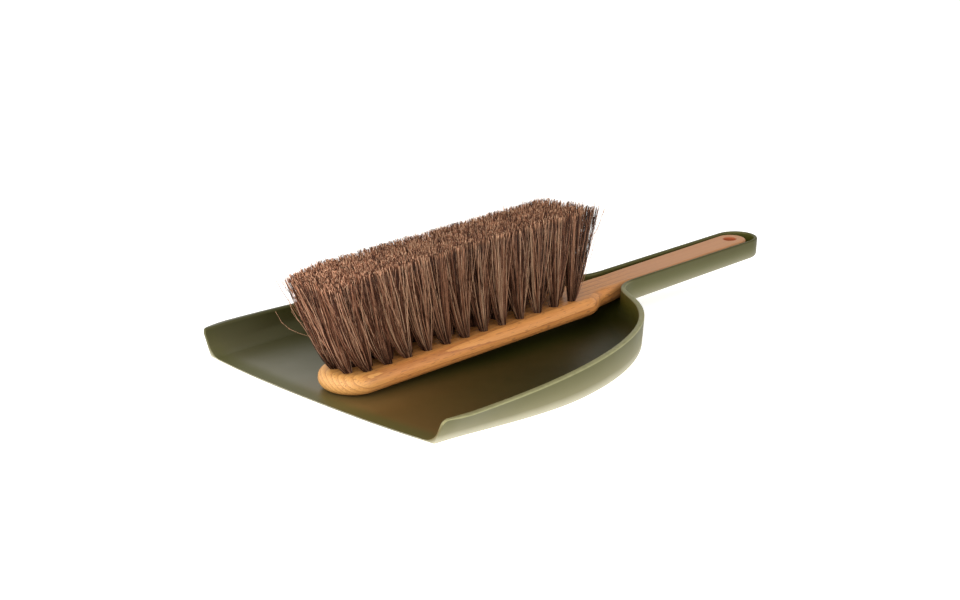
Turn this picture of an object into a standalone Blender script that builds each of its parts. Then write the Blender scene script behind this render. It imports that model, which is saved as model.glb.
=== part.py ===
"""Dustpan and hand brush.

The dustpan is one moulding: a flat pan with a raised rim, whose back narrows into an open trough.
The trough is the dustpan's handle, and it holds the handle of the beech brush, which lies in the pan
with its bristles up and lifts straight out. Units are metres, +Y runs from the lip to the handle, and
the origin is on the pan's flat underside.
"""
import math

import bmesh
import bpy
import numpy as np

# ---- where things stand ----
LIP_Y = -0.100            # the pan's front edge, so that the origin is under the middle of the pan
TOUCH_GAP = 0.0003        # left between pieces that rest on each other
SHARP_ANGLE = math.radians(35.0)

# ---- dustpan, measured from the lip (y) and from the centreline (x) ----
RIM_HALF_WIDTH = 0.1071   # outside of the rim at its widest
RIM_LENGTH = 0.2197       # where the rim's curve would close, were there no handle
RIM_POWER = 2.381         # squareness of the rim's curve: 2 is an ellipse
RIM_FRONT_Z = 0.0150      # rim height over the lip
RIM_SLOPE = 0.0228        # rise of the pan's rim for each metre towards the handle
TROUGH_RIM_Z = 0.0225     # rim height where the trough begins
TROUGH_RIM_SLOPE = 0.0338
RIM_RISE_START_Y = 0.190  # the pan's rim curves up to the trough's from here
CORNER_RADIUS = 0.0028    # rounding of the rim's two front corners, seen from the side
FRONT_TUCK = 0.0040       # how far the rim's front corners are drawn in, seen in plan
FRONT_TUCK_LENGTH = 0.020 # the length of rim over which that fades out
LIP_BOW = 0.0045          # how far the lip swings forward at the centreline
LIP_BOW_HALF_WIDTH = 0.094
LIP_BOW_POWER = 2.5
LIP_BOW_LENGTH = 0.050    # the bow fades out over this length of the floor
WALL = 0.0032
TROUGH_WALL = 0.0023
FLOOR = 0.0015
RIM_EDGE_RADIUS = 0.0009
BEVEL_LENGTH = 0.009      # the lip and the walls thin down over this length
BEVEL_THICKNESS = 0.5     # share of the full thickness left at the very edge
NECK_X = 0.040            # where the rim's curve leaves the pan for the handle
NECK_END_Y = 0.238
NECK_PULL = 0.0178        # how far the neck's curve runs on at each end
TROUGH_HALF_WIDTH = 0.0143
TROUGH_END_Y = 0.3643
TROUGH_BASE_Z = 0.0089    # underside of the trough where it leaves the pan
TROUGH_SLOPE = 0.046
RAMP_START_Y = 0.203      # the floor climbs from the pan to the trough between these two
RAMP_END_Y = 0.240

# ---- wall section: front corner, pan and trough ----
LEAN_FRONT = math.radians(38.0)
LEAN_SIDE = math.radians(-2.0)
LEAN_BACK = math.radians(4.0)
LEAN_TROUGH = math.radians(2.0)
LEAN_SETTLES_Y = 0.106    # the side walls stand up straighter from the lip to here
LEAN_BACK_START_Y = 0.120 # and lean out again round the back, between these two
LEAN_BACK_END_Y = 0.190
OUTER_FILLET = 0.0024
INNER_FILLET_PAN = 0.0110
INNER_FILLET_TROUGH = 0.0030

# ---- brush, measured along its own axis (u) from the pan's lip ----
BRUSH_PIVOT = 0.300       # the brush lies slightly askew about this point of its handle
BRUSH_X = -0.0003
BRUSH_YAW = 0.0165
BRUSH_SLOPE = 0.0366
BRUSH_FACE_Z = 0.01275    # height of the bristle face, run on to u = 0
BLOCK_TIP = 0.0037
BLOCK_NOSE = 0.0172       # length of the block's rounded nose
BLOCK_HALF_WIDTH = 0.0193
BLOCK_THICKNESS = 0.0112
SHOULDER_START = 0.1925
SHOULDER_LENGTH = 0.018
SHOULDER_HALF_WIDTH = 0.0127
FLARE_START = 0.208
FLARE_LENGTH = 0.030
HANDLE_HALF_WIDTH = 0.0099
HANDLE_EDGE_RADIUS = 0.0014
HANDLE_EDGE_START = 0.200 # the rounded side gets its crisper top edge between these two
HANDLE_EDGE_END = 0.245
HANDLE_END = 0.3562
HANDLE_END_THICKNESS = 0.0096
EDGE_FLAT = 0.0002        # what is left flat on the block's rounded side, each way
HANG_HOLE_RADIUS = 0.0040
HANG_HOLE_U = 0.3455

# ---- tufts ----
TUFT_RADIUS = 0.0021
TUFT_HOLE_RADIUS = 0.0024
TUFT_HOLE_DEPTH = 0.0070
BRISTLE_LENGTH = 0.0560
LANE_SPACING = 0.00535
TOP_LANE_SPACING = 0.0078
TUFT_TOP_GAP = 0.0004     # left between the tops of neighbouring tufts
TUFT_TOP_POWER = 3.2      # squareness of a tuft's top: 2 is an ellipse
# name, lane number from the centreline, tufts, first and last hole, front and back of the trimmed top
LANES = (
    ("left_edge", -2, 12, 0.0243, 0.1826, -0.0080, 0.1920),
    ("left_inner", -1, 12, 0.0148, 0.1731, -0.0120, 0.1945),
    ("middle", 0, 10, 0.0243, 0.1826, -0.0120, 0.1945),
    ("right_inner", 1, 12, 0.0148, 0.1731, -0.0120, 0.1945),
    ("right_edge", 2, 12, 0.0243, 0.1826, -0.0080, 0.1920),
)


# ---------------------------------------------------------------- helpers
def clear_scene():
    for old in list(bpy.data.objects):
        bpy.data.objects.remove(old, do_unlink=True)


def make_material(name, colour, roughness):
    material = bpy.data.materials.new(name)
    material.use_nodes = True
    shader = material.node_tree.nodes["Principled BSDF"]
    shader.inputs["Base Color"].default_value = (*colour, 1.0)
    shader.inputs["Roughness"].default_value = roughness
    shader.inputs["Metallic"].default_value = 0.0
    return material


def add_object(name, mesh, material, parent=None):
    obj = bpy.data.objects.new(name, mesh)
    bpy.context.scene.collection.objects.link(obj)
    if material:
        mesh.materials.append(material)
    obj.parent = parent
    return obj


def finish_mesh(bm, name):
    """Point the faces outwards, shade round parts smooth and hand back the mesh."""
    bmesh.ops.recalc_face_normals(bm, faces=bm.faces)
    mesh = bpy.data.meshes.new(name)
    bm.to_mesh(mesh)
    bm.free()
    mesh.shade_smooth()
    mesh.set_sharp_from_angle(angle=SHARP_ANGLE)
    return mesh


def smooth_step(value, start, length):
    share = min(max((value - start) / length, 0.0), 1.0)
    return share * share * (3.0 - 2.0 * share)


def spaced(points, count):
    """Points evenly spaced along a polyline, its ends kept."""
    points = np.array(points)
    steps = np.linalg.norm(np.diff(points, axis=0), axis=1)
    travel = np.concatenate([[0.0], np.cumsum(steps)])
    wanted = np.linspace(0.0, travel[-1], count)
    return [tuple(np.interp(wanted, travel, points[:, axis])[i] for axis in (0, 1)) for i in range(count)]


def outward_normals(outline):
    """Plan normals of a right-hand outline that runs from front to back."""
    points = np.array(outline)
    along = np.gradient(points, axis=0)
    along /= np.linalg.norm(along, axis=1)[:, None]
    return np.stack([along[:, 1], -along[:, 0]], axis=1)


def add_quads(bm, row_a, row_b):
    """Faces between two rows of vertices; a face shrinks to a triangle where two corners are one."""
    for i in range(len(row_a) - 1):
        corners = []
        for vert in (row_a[i], row_a[i + 1], row_b[i + 1], row_b[i]):
            if vert not in corners:
                corners.append(vert)
        if len(corners) > 2:
            bm.faces.new(corners)


# ---------------------------------------------------------------- dustpan
def rim_curve_y(x):
    return RIM_LENGTH * (1.0 - (x / RIM_HALF_WIDTH) ** RIM_POWER) ** (1.0 / RIM_POWER)


def rim_curve_slope(x):
    """Slope of the rim's curve in plan at x."""
    y = rim_curve_y(x)
    across = (x / RIM_HALF_WIDTH) ** (RIM_POWER - 1.0) / RIM_HALF_WIDTH
    along = (y / RIM_LENGTH) ** (RIM_POWER - 1.0) / RIM_LENGTH
    return -across / along


def pan_outline():
    """Outer edge of the rim in plan, on the right, from the lip to the trough's end."""
    corner = [CORNER_RADIUS * (1.0 - math.cos(math.radians(a))) for a in range(0, 91, 18)]
    front = corner + [BEVEL_LENGTH]
    angles = np.linspace(0.0, math.pi / 2, 400)
    curve = [
        (RIM_HALF_WIDTH * math.cos(a) ** (2 / RIM_POWER), RIM_LENGTH * math.sin(a) ** (2 / RIM_POWER))
        for a in angles
    ]
    neck_start = (NECK_X, rim_curve_y(NECK_X))
    side = [p for p in curve if p[1] > BEVEL_LENGTH and p[0] > NECK_X]
    width_at = lambda y: RIM_HALF_WIDTH * (1.0 - (y / RIM_LENGTH) ** RIM_POWER) ** (1.0 / RIM_POWER)
    outline = [(width_at(y), y) for y in front]
    outline += spaced([outline[-1]] + side + [neck_start], 30)[1:]
    outline = [(x - front_tuck(y), y) for x, y in outline]
    outline += neck_points(neck_start, 12)[1:]
    outline += trough_points()
    return outline


def neck_points(start, count):
    """A cubic curve from the pan's back round into the trough's side."""
    slope = rim_curve_slope(start[0])
    heading = np.array([-1.0, -slope]) / math.hypot(1.0, slope)
    p0 = np.array(start)
    p3 = np.array([TROUGH_HALF_WIDTH, NECK_END_Y])
    p1 = p0 + heading * NECK_PULL
    p2 = p3 - np.array([0.0, NECK_PULL])
    points = []
    for t in np.linspace(0.0, 1.0, 60):
        point = (1 - t) ** 3 * p0 + 3 * (1 - t) ** 2 * t * p1 + 3 * (1 - t) * t * t * p2 + t**3 * p3
        points.append(tuple(point))
    return spaced(points, count)


def trough_points():
    """The trough's straight side and its half-round end, as far as the centreline."""
    centre_y = TROUGH_END_Y - TROUGH_HALF_WIDTH
    straight = [(TROUGH_HALF_WIDTH, y) for y in np.linspace(NECK_END_Y, centre_y, 5)[1:]]
    turns = [math.radians(a) for a in range(10, 91, 10)]
    end = [(TROUGH_HALF_WIDTH * math.cos(a), centre_y + TROUGH_HALF_WIDTH * math.sin(a)) for a in turns]
    return straight + end


def underside_z(y):
    """Height of the floor's underside."""
    trough = TROUGH_BASE_Z + TROUGH_SLOPE * (y - RAMP_END_Y)
    return trough * smooth_step(y, RAMP_START_Y, RAMP_END_Y - RAMP_START_Y)


def rim_line(y):
    """Height of the rim's straight run, which curves up from the pan's to the trough's."""
    pan = RIM_FRONT_Z + RIM_SLOPE * y
    trough = TROUGH_RIM_Z + TROUGH_RIM_SLOPE * (y - RAMP_END_Y)
    return pan + (trough - pan) * smooth_step(y, RIM_RISE_START_Y, RAMP_END_Y - RIM_RISE_START_Y)


def rim_z(y):
    """Height of the rim, which falls away in a quarter round at the front corner."""
    height = rim_line(y)
    if y < CORNER_RADIUS:
        height -= CORNER_RADIUS - math.sqrt(CORNER_RADIUS**2 - (CORNER_RADIUS - y) ** 2)
    return height


def thinning(y):
    """Share of the full thickness at a distance from the lip."""
    return BEVEL_THICKNESS + (1.0 - BEVEL_THICKNESS) * min(y / BEVEL_LENGTH, 1.0)


def lip_bow(x, y):
    """How far a point of the pan is moved forward so that the lip bows out in plan."""
    fade = 1.0 - smooth_step(y, 0.0, LIP_BOW_LENGTH)
    return LIP_BOW * fade * max(0.0, 1.0 - (abs(x) / LIP_BOW_HALF_WIDTH) ** LIP_BOW_POWER)


def front_tuck(y):
    """How far the rim's front corner is drawn in, seen in plan."""
    return FRONT_TUCK * max(0.0, 1.0 - y / FRONT_TUCK_LENGTH) ** 2


def wall_lean(y):
    lean = LEAN_FRONT + (LEAN_SIDE - LEAN_FRONT) * smooth_step(y, 0.0, LEAN_SETTLES_Y)
    lean += (LEAN_BACK - LEAN_SIDE) * smooth_step(y, LEAN_BACK_START_Y, LEAN_BACK_END_Y - LEAN_BACK_START_Y)
    lean = math.atan(math.tan(lean) - front_tuck(y) / RIM_FRONT_Z)
    return lean + (LEAN_TROUGH - lean) * smooth_step(y, RAMP_START_Y, RAMP_END_Y - RAMP_START_Y)


def fillet_side(radius, lean, full_height, steps):
    """Inset and height of a fillet from the floor up to the wall, and the inset of its foot.

    The wall's line passes through inset 0 at full_height and leans out by the angle lean.
    """
    sweep = math.pi / 2 - lean
    top = radius * (1.0 - math.cos(sweep))
    foot = radius * math.sin(sweep) + (full_height - top) * math.tan(lean)
    turns = [sweep * i / steps for i in range(steps + 1)]
    return [(foot - radius * math.sin(a), radius * (1.0 - math.cos(a))) for a in turns]


def wall_section(y, normal_y):
    """Closed-in section of the wall at one place on the rim: insets from the rim and heights.

    It runs from the foot outside, up over the rim, and down to the foot inside.
    """
    lean = wall_lean(y)
    share = smooth_step(y, RAMP_START_Y, RAMP_END_Y - RAMP_START_Y)
    wall = (WALL + (TROUGH_WALL - WALL) * share) * thinning(y) / math.cos(lean)
    floor = FLOOR * thinning(y)
    full = rim_line(y)
    top = rim_z(y)
    inner_radius = INNER_FILLET_PAN + (INNER_FILLET_TROUGH - INNER_FILLET_PAN) * share

    base_out = underside_z(y)
    for _ in range(3):
        outside = fillet_side(OUTER_FILLET, lean, full - base_out, 5)
        base_out = underside_z(y - normal_y * outside[0][0])
    base_in = underside_z(y)
    for _ in range(3):
        inside = fillet_side(inner_radius, lean, full - base_in - floor, 6)
        base_in = underside_z(y - normal_y * (inside[0][0] + wall))

    edge = RIM_EDGE_RADIUS * thinning(y)
    mid = edge * (1.0 - math.cos(math.pi / 4))
    shift = (full - top) * math.tan(lean)
    slip = edge * math.tan(lean)
    section = [(inset, base_out + z) for inset, z in outside]
    section += [(shift + slip, top - edge), (shift + mid, top - mid), (shift + edge, top)]
    section += [(shift + wall - edge, top), (shift + wall - mid, top - mid)]
    section += [(shift + wall + slip, top - edge)]
    section += [(inset + wall, base_in + floor + z) for inset, z in reversed(inside)]
    return section


def pan_normals(outline):
    """Plan normals of the rim, turned square to the lip over the tucked-in front corner."""
    normals = outward_normals(outline)
    normals[:, 1] *= [smooth_step(y, 0.0, FRONT_TUCK_LENGTH) for _, y in outline]
    normals /= np.linalg.norm(normals, axis=1)[:, None]
    normals[-1] = (0.0, 1.0)
    return normals


def build_dustpan(material):
    outline = pan_outline()
    normals = pan_normals(outline)
    bm = bmesh.new()

    def ring(x, y, normal, side):
        section = wall_section(y, normal[1])
        place = lambda inset, z: (side * (x - normal[0] * inset), y - normal[1] * inset, z)
        return [bm.verts.new(place(inset, z)) for inset, z in section]

    right = [ring(x, y, n, 1.0) for (x, y), n in zip(outline, normals)]
    left = [ring(x, y, n, -1.0) for (x, y), n in zip(outline[:-1], normals[:-1])] + [right[-1]]
    for i in range(len(outline) - 1):
        add_quads(bm, right[i], right[i + 1])
        add_quads(bm, left[i + 1], left[i])

    top_rows = [floor_row(bm, a[-1], b[-1]) for a, b in zip(right, left)]
    under_rows = [floor_row(bm, a[0], b[0]) for a, b in zip(right, left)]
    for rows in (top_rows, under_rows):
        for i in range(len(rows) - 1):
            add_quads(bm, rows[i], rows[i + 1])

    front = right[0] + top_rows[0][1:-1] + left[0][::-1] + under_rows[0][1:-1][::-1]
    bm.faces.new(front)
    for vert in bm.verts:
        vert.co.y -= lip_bow(vert.co.x, vert.co.y)
    pan = add_object("dustpan", finish_mesh(bm, "dustpan"), material)
    pan.location = (0.0, LIP_Y, 0.0)
    return pan


def floor_row(bm, right_foot, left_foot, spans=12):
    """Vertices across the floor between the feet of the two walls."""
    if right_foot is left_foot:
        return [right_foot] * (spans + 1)
    inner = [bm.verts.new(right_foot.co.lerp(left_foot.co, i / spans)) for i in range(1, spans)]
    return [right_foot] + inner + [left_foot]


# ---------------------------------------------------------------- brush block
def block_half_width(u):
    shoulder = BLOCK_HALF_WIDTH - SHOULDER_HALF_WIDTH
    shoulder *= 1.0 - smooth_step(u, SHOULDER_START, SHOULDER_LENGTH)
    flare = (SHOULDER_HALF_WIDTH - HANDLE_HALF_WIDTH) * (1.0 - smooth_step(u, FLARE_START, FLARE_LENGTH))
    return HANDLE_HALF_WIDTH + flare + shoulder


def block_thickness(u):
    share = min(max((u - SHOULDER_START) / (HANDLE_END - SHOULDER_START), 0.0), 1.0)
    return BLOCK_THICKNESS + (HANDLE_END_THICKNESS - BLOCK_THICKNESS) * share


def block_outline():
    """Widest edge of the brush's wood in plan, on the right, from nose to handle end."""
    nose_u = BLOCK_TIP + BLOCK_NOSE
    end_u = HANDLE_END - HANDLE_HALF_WIDTH
    turns = [math.radians(a) for a in range(0, 90, 9)]
    nose = [(BLOCK_HALF_WIDTH * math.sin(a), nose_u - BLOCK_NOSE * math.cos(a)) for a in turns]
    sides = [nose_u, 0.5 * (nose_u + SHOULDER_START)]
    sides += list(np.linspace(SHOULDER_START, FLARE_START + FLARE_LENGTH, 18))
    sides += list(np.linspace(FLARE_START + FLARE_LENGTH, end_u, 4)[1:])
    body = [(block_half_width(u), u) for u in sides]
    turns = [math.radians(a) for a in range(10, 91, 10)]
    end = [(HANDLE_HALF_WIDTH * math.cos(a), end_u + HANDLE_HALF_WIDTH * math.sin(a)) for a in turns]
    return nose + body + end


def edge_section(u, quarter_steps=3):
    """Rounded side of the wood: insets and heights from the bristle face down to the back."""
    thickness = block_thickness(u)
    low = thickness / 2 - EDGE_FLAT
    share = smooth_step(u, HANDLE_EDGE_START, HANDLE_EDGE_END - HANDLE_EDGE_START)
    high = low + (HANDLE_EDGE_RADIUS - low) * share
    points = []
    for quarter, radius, centre_z in ((0, high, -high), (1, low, low - thickness)):
        for i in range(quarter_steps + 1):
            angle = math.pi / 2 * (quarter + i / quarter_steps)
            points.append((radius * (1.0 - math.sin(angle)), centre_z + radius * math.cos(angle)))
    return points


def build_block(material, frame):
    outline = block_outline()
    normals = outward_normals(outline)
    normals[0] = (0.0, -1.0)
    normals[-1] = (0.0, 1.0)
    bm = bmesh.new()

    def ring(x, u, normal, side):
        points = []
        for inset, z in edge_section(u):
            place = (side * (x - normal[0] * inset), u - normal[1] * inset - BRUSH_PIVOT, z)
            points.append(bm.verts.new(place))
        return points

    right = [ring(x, u, n, 1.0) for (x, u), n in zip(outline, normals)]
    left = [ring(x, u, n, -1.0) for (x, u), n in zip(outline[1:-1], normals[1:-1])]
    left = [right[0]] + left + [right[-1]]
    for i in range(len(outline) - 1):
        add_quads(bm, right[i], right[i + 1])
        add_quads(bm, left[i + 1], left[i])
        add_quads(bm, [right[i][-1], left[i][-1]], [right[i + 1][-1], left[i + 1][-1]])
    face = [ring_points[0] for ring_points in right] + [ring_points[0] for ring_points in left[-2:0:-1]]
    bm.faces.new(face)
    block = add_object("brush_block", finish_mesh(bm, "brush_block"), material, frame)

    holes = block.modifiers.new("holes", "BOOLEAN")
    holes.operation = "DIFFERENCE"
    holes.solver = "EXACT"
    holes.object = build_hole_cutters(frame)
    return block


def build_hole_cutters(frame):
    """The hanging hole and one blind hole for each tuft, as one cutter."""
    bm = bmesh.new()
    add_drill(bm, 0.0, HANG_HOLE_U, HANG_HOLE_RADIUS, 2.0 * BLOCK_THICKNESS, 24)
    for _, lane, count, first, last, _, _ in LANES:
        for u in np.linspace(first, last, count):
            add_drill(bm, lane * LANE_SPACING, u, TUFT_HOLE_RADIUS, TUFT_HOLE_DEPTH, 10)
    cutters = add_object("hole_cutters", finish_mesh(bm, "hole_cutters"), None, frame)
    cutters.hide_render = True
    cutters.display_type = "WIRE"
    return cutters


def add_drill(bm, x, u, radius, depth, segments):
    """A cylinder from above the bristle face down to a depth in the wood."""
    above = 0.001
    rings = []
    for z in (above, -depth):
        turns = [2.0 * math.pi * i / segments for i in range(segments)]
        circle = [(x + radius * math.cos(a), u - BRUSH_PIVOT + radius * math.sin(a), z) for a in turns]
        rings.append([bm.verts.new(co) for co in circle])
    add_quads(bm, rings[0] + rings[0][:1], rings[1] + rings[1][:1])
    bm.faces.new(rings[0])
    bm.faces.new(rings[1])


# ---------------------------------------------------------------- tufts
def tuft_ring(bm, centre, half_sizes, z, power, segments=12):
    """One ring of a tuft: a circle for power 2, squarer above that."""
    verts = []
    for i in range(segments):
        angle = 2.0 * math.pi * (i + 0.5) / segments
        c, s = math.cos(angle), math.sin(angle)
        x = centre[0] + half_sizes[0] * math.copysign(abs(c) ** (2.0 / power), c)
        y = centre[1] + half_sizes[1] * math.copysign(abs(s) ** (2.0 / power), s)
        verts.append(bm.verts.new((x, y - BRUSH_PIVOT, z)))
    return verts


def build_tuft(name, root, top, top_half, material, frame):
    """A bundle of hair: a round root down its hole, spreading to its share of the trimmed top."""
    root_half = (TUFT_RADIUS, TUFT_RADIUS)
    bm = bmesh.new()
    rings = [
        tuft_ring(bm, root, root_half, TOUCH_GAP - TUFT_HOLE_DEPTH, 2.0),
        tuft_ring(bm, root, root_half, 0.0, 2.0),
        tuft_ring(bm, top, top_half, BRISTLE_LENGTH, TUFT_TOP_POWER),
    ]
    for lower, upper in zip(rings, rings[1:]):
        add_quads(bm, lower + lower[:1], upper + upper[:1])
    bm.faces.new(rings[0])
    bm.faces.new(rings[-1])
    return add_object(name, finish_mesh(bm, name), material, frame)


def build_tufts(material, frame):
    half_width = TOP_LANE_SPACING / 2 - TUFT_TOP_GAP / 2
    for lane_name, lane, count, first, last, top_front, top_back in LANES:
        cell = (top_back - top_front) / count
        top_half = (half_width, cell / 2 - TUFT_TOP_GAP / 2)
        for i, u in enumerate(np.linspace(first, last, count)):
            root = (lane * LANE_SPACING, u)
            top = (lane * TOP_LANE_SPACING, top_front + cell * (i + 0.5))
            build_tuft(f"tuft_{lane_name}_{i + 1:02d}", root, top, top_half, material, frame)


def build_brush_frame():
    """Empty on the line the brush lifts along: its XY plane is the bristle face."""
    frame = bpy.data.objects.new("brush_lift", None)
    bpy.context.scene.collection.objects.link(frame)
    frame.location = (BRUSH_X, LIP_Y + BRUSH_PIVOT, BRUSH_FACE_Z + BRUSH_SLOPE * BRUSH_PIVOT)
    frame.rotation_euler = (math.atan(BRUSH_SLOPE), 0.0, BRUSH_YAW)
    return frame


def main():
    clear_scene()
    olive = make_material("olive_plastic", (0.085, 0.095, 0.035), 0.42)
    beech = make_material("beech", (0.62, 0.36, 0.19), 0.5)
    horsehair = make_material("horsehair", (0.16, 0.10, 0.075), 0.7)
    build_dustpan(olive)
    frame = build_brush_frame()
    build_block(beech, frame)
    build_tufts(horsehair, frame)


main()
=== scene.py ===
"""Dustpan and hand brush: finished shapes, surfaces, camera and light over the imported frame.

The dustpan and the wood are rebuilt as finer meshes from the dimensions that the CAD part uses, and each
CAD tuft is replaced by separate hairs. Lengths are in metres unless a name or comment says mm.
"""

import math

import bmesh
import bpy
import numpy as np
from mathutils import Euler, Matrix, Vector


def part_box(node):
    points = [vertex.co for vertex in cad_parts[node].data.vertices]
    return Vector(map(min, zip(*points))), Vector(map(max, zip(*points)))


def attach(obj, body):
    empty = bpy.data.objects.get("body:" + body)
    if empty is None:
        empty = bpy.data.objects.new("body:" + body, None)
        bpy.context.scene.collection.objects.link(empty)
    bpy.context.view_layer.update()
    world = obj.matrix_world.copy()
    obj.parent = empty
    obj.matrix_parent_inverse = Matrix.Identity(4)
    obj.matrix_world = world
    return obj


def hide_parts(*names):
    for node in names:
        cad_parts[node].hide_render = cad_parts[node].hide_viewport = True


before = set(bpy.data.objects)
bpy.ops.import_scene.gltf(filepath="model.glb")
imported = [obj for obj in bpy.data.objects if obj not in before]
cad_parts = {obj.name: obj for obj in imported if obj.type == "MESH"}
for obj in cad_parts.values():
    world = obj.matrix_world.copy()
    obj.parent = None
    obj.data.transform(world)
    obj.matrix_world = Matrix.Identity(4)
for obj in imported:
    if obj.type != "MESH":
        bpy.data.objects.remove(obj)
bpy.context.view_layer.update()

MM = 0.001
PAN_LOW, PAN_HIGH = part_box("dustpan")

# ---- dustpan, measured from the lip (y) and from the centreline (x) ----
RIM_HALF_WIDTH = 0.1071    # outside of the rim at its widest
RIM_LENGTH = 0.2197        # where the rim's curve would close, were there no handle
RIM_POWER = 2.381          # squareness of the rim's curve: 2 is an ellipse
RIM_FRONT_Z = 0.0150       # rim height over the lip
RIM_SLOPE = 0.0228         # rise of the pan's rim for each metre towards the handle
TROUGH_RIM_Z = 0.0225      # rim height where the trough begins
TROUGH_RIM_SLOPE = 0.0338
RIM_RISE_START_Y = 0.190   # the pan's rim curves up to the trough's from here
CORNER_RADIUS = 0.0028     # rounding of the rim's front corners, seen from the side
FRONT_TUCK = 0.0040        # how far the rim's front corners are drawn in, seen in plan
FRONT_TUCK_LENGTH = 0.020  # the length of rim over which that fades out
LIP_BOW = 0.0045           # how far the lip swings forward at the centreline
LIP_BOW_HALF_WIDTH = 0.094
LIP_BOW_POWER = 2.5
LIP_BOW_LENGTH = 0.050     # the bow fades out over this length of the floor
WALL = 0.0032
TROUGH_WALL = 0.0023
FLOOR = 0.0015
RIM_EDGE_RADIUS = 0.0009
LIP_BAND_START = 0.0030    # the duller band along the lip, a greener olive painted lighter as a highlight on its bevel, fades out from here
LIP_BAND_FADE = 0.0070
LIP_BAND_HEIGHT = 0.0080   # and up the walls over this height
RIM_BAND = 0.0004          # the rim's painted highlight fades out over this, below its rounding
FOOT_BAND = 0.0110         # the painted reflection of the white floor on the outer wall's foot fades out over this height
BEVEL_LENGTH = 0.009       # the lip and the walls thin down over this length
BEVEL_THICKNESS = 0.5      # share of the full thickness left at the very edge
NECK_X = 0.040             # where the rim's curve leaves the pan for the handle
NECK_END_Y = 0.238
NECK_PULL = 0.0178         # how far the neck's curve runs on at each end
TROUGH_HALF_WIDTH = 0.0143
LIP_Y = PAN_LOW.y + LIP_BOW
TROUGH_END_Y = PAN_HIGH.y - LIP_Y
TROUGH_BASE_Z = 0.0089     # underside of the trough where it leaves the pan
TROUGH_SLOPE = 0.046
RAMP_START_Y = 0.203       # the floor climbs from the pan to the trough between these two
RAMP_END_Y = 0.240
LEAN_FRONT = math.radians(38.0)
LEAN_SIDE = math.radians(-2.0)
LEAN_BACK = math.radians(4.0)
LEAN_TROUGH = math.radians(2.0)
LEAN_SETTLES_Y = 0.106     # the side walls stand up straighter from the lip to here
LEAN_BACK_START_Y = 0.120  # and lean out again round the back, between these two
LEAN_BACK_END_Y = 0.190
OUTER_FILLET = 0.0024
INNER_FILLET_PAN = 0.0110
INNER_FILLET_TROUGH = 0.0030
SIDE_POINTS = 110          # points of the rim's curve on each side, and of the neck after it
NECK_POINTS = 44
FOOT_STEPS = 10            # steps round the outer fillet, and round each edge of the rim
EDGE_STEPS = 4
RIM_ROW = FOOT_STEPS + 2   # the row of a wall section where the rim's rounding starts
RIM_HIGHLIGHT_FADE = 0.020      # the painted highlight along the rim's right side fades out over this, up to the neck
# strength of the painted highlight along the rim's left side
LEFT_RIM_HIGHLIGHT = 0.12

# ---- brush, measured along its own axis (u) from the pan's lip ----
BRUSH_PIVOT = 0.300        # the brush lies slightly askew about this point of its handle
BRUSH_X = -0.0003
BRUSH_YAW = 0.0165
BRUSH_SLOPE = 0.0366
BRUSH_FACE_Z = 0.01275     # height of the bristle face, run on to u = 0
BLOCK_TIP = 0.0037
BLOCK_NOSE = 0.0172        # length of the block's rounded nose
BLOCK_HALF_WIDTH = 0.0193
BLOCK_THICKNESS = 0.0112
SHOULDER_START = 0.1925
SHOULDER_LENGTH = 0.018
SHOULDER_HALF_WIDTH = 0.0127
FLARE_START = 0.208
FLARE_LENGTH = 0.030
HANDLE_HALF_WIDTH = 0.0099
HANDLE_EDGE_RADIUS = 0.0014
HANDLE_EDGE_START = 0.200  # the rounded side gets its crisper top edge between these two
HANDLE_EDGE_END = 0.245
HANDLE_END = 0.3562
HANDLE_END_THICKNESS = 0.0096
EDGE_FLAT = 0.0002         # what is left flat on the block's rounded side, each way
HANG_HOLE_RADIUS = 0.0040
HANG_HOLE_ROUNDING = 0.0006
HANG_HOLE_U = 0.3455
TUFT_RADIUS = 0.0021
TUFT_HOLE_RADIUS = 0.0024
TUFT_HOLE_DEPTH = 0.0070
BRISTLE_LENGTH = 0.0560
LANE_SPACING = 0.00535
TOP_LANE_SPACING = 0.0078
# name, lane number, tufts, first and last hole, front and back of the trimmed top
LANES = (
    ("left_edge", -2, 12, 0.0243, 0.1826, -0.0080, 0.1920),
    ("left_inner", -1, 12, 0.0148, 0.1731, -0.0120, 0.1945),
    ("middle", 0, 10, 0.0243, 0.1826, -0.0120, 0.1945),
    ("right_inner", 1, 12, 0.0148, 0.1731, -0.0120, 0.1945),
    ("right_edge", 2, 12, 0.0243, 0.1826, -0.0080, 0.1920),
)
BRUSH_MATRIX = Matrix.LocRotScale(
    Vector((BRUSH_X, LIP_Y + BRUSH_PIVOT, BRUSH_FACE_Z + BRUSH_SLOPE * BRUSH_PIVOT)),
    Euler((math.atan(BRUSH_SLOPE), 0.0, BRUSH_YAW)),
    Vector((1.0, 1.0, 1.0)),
)

# ---- hair ----
HAIRS_PER_TUFT = 360
HAIR_POINTS = 9
HAIR_RADIUS = 0.00014
BRUSH_TOP_HALF = 0.0195    # half the width of the bristles' trimmed top
WORN_FRONT_U = -0.010      # the front corner is worn in round this place, over this reach
WORN_FRONT_REACH = 0.018
FAN_START_U = 0.150        # the rear fans out from here, over this length
FAN_LENGTH = 0.045
CLUMPS_PER_TUFT = 14       # hairs gather in clumps that share a tone
CLUMP_PULL = 0.12
WILD_SHARE = 0.24          # share of hairs that bend and stray more than the rest
WILD_SCATTER_MM = 4.4
TAME_SCATTER_MM = 1.3
SHORT_SHARE = 0.07         # share of hairs that end below the trimmed top
PALE_SHARE = 0.24
STRAY_THINNESS = 0.7
# long loose hairs: how many, and two bends and a tip of each, in mm from the root
FRONT_STRAYS = 1
FRONT_BENDS = ((0.0, -4.0, 27.0), (-7.0, -25.0, 15.0))
FRONT_TIP = (-14.0, -26.0, 38.0)
REAR_STRAYS = 2
REAR_BENDS = ((1.3, 6.0, 24.0), (3.3, 13.0, 40.0))
REAR_TIP = (6.0, 21.0, 48.0)
SEED = 7

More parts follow.
